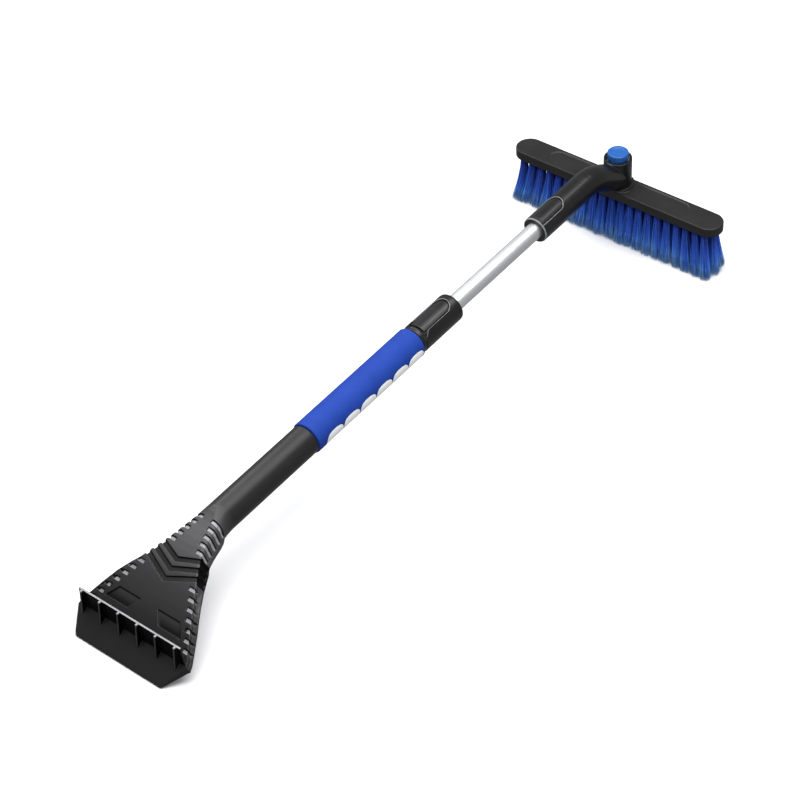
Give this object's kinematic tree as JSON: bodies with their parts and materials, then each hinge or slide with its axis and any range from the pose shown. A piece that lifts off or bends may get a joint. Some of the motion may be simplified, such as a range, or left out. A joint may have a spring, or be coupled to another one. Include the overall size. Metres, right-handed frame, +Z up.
{
  "type": "snow brush with ice scraper",
  "caption": "Telescopic snow brush: a swivelling blue bristle head on a bent elbow, a sliding alloy tube, a foam-grip handle and a wide finned ice scraper at the other end.",
  "frame": {"origin": "on the floor, under the middle of the whole object as it lies on its bristle tips and cutting edge", "axes": "+Y along the pole from the scraper towards the brush, +X across the brush, +Z up"},
  "size_m": [0.27, 0.8126, 0.113],
  "materials": {
    "black_plastic": "semi-gloss moulded black",
    "tube_plastic": "dark grey extruded tube",
    "white_foam": "smooth closed-cell foam",
    "blue_foam": "smooth closed-cell foam",
    "blue_plastic": "semi-gloss sky blue",
    "nylon": "natural nylon",
    "rubber": "matt",
    "aluminium": "bright drawn tube",
    "steel": "zinc-plated",
    "bristle_fibre": "split-tip synthetic filaments"
  },
  "bodies": {
    "handle": {"scraper_head": "black_plastic", "handle_tube": "tube_plastic", "head_screw": "steel", "grip_white_foam": "white_foam", "grip_blue_foam": "blue_foam", "lock_collar": "black_plastic", "collar_bush": "nylon", "collar_screw": "steel", "lever_pin_left": "steel", "lever_pin_right": "steel"},
    "lock_lever": {"lock_lever": "black_plastic", "brake_pad": "rubber"},
    "pole": {"inner_tube": "aluminium", "tube_slider": "nylon", "elbow_housing": "black_plastic", "latch_pin_left": "steel", "latch_pin_right": "steel", "button_spring": "steel", "button_ring": "steel", "thrust_washer": "nylon"},
    "elbow_latch": {"elbow_latch": "black_plastic"},
    "swivel_button": {"swivel_button": "blue_plastic", "lock_sleeve": "nylon"},
    "brush_head": {"brush_plate": "black_plastic", "swivel_spindle": "steel", "lock_wheel": "steel", "spindle_screw": "steel", "retaining_clip": "steel", "bristles_front": "bristle_fibre", "bristles_middle": "bristle_fibre", "bristles_back": "bristle_fibre"}
  },
  "joints": [
    {"name": "lever_press", "type": "hinge", "parent": "handle", "child": "lock_lever", "pos_m": [0, 0.05363, 0.09021], "axis": [-1, 0, 0], "range_deg": [0, 4], "stiffness_Nm_per_rad": 3, "springref_deg": -2.86},
    {"name": "pole_slide", "type": "slide", "parent": "handle", "child": "pole", "axis": [0, 0.9984, 0.0558], "range_m": [-0.14, 0.1]},
    {"name": "latch_press", "type": "hinge", "parent": "pole", "child": "elbow_latch", "pos_m": [0, 0.25331, 0.10138], "axis": [-1, 0, 0], "range_deg": [0, 5], "stiffness_Nm_per_rad": 3, "springref_deg": -2.86},
    {"name": "button_press", "type": "slide", "parent": "pole", "child": "swivel_button", "axis": [0, 0, -1], "range_m": [0, 0.005], "stiffness_N_per_m": 800, "springref_m": -0.002, "deforming": ["button_spring"]},
    {"name": "brush_swivel", "type": "hinge", "parent": "pole", "child": "brush_head", "pos_m": [0, 0.3845, 0.0645], "axis": [0, 0, 1], "continuous": true}
  ]
}
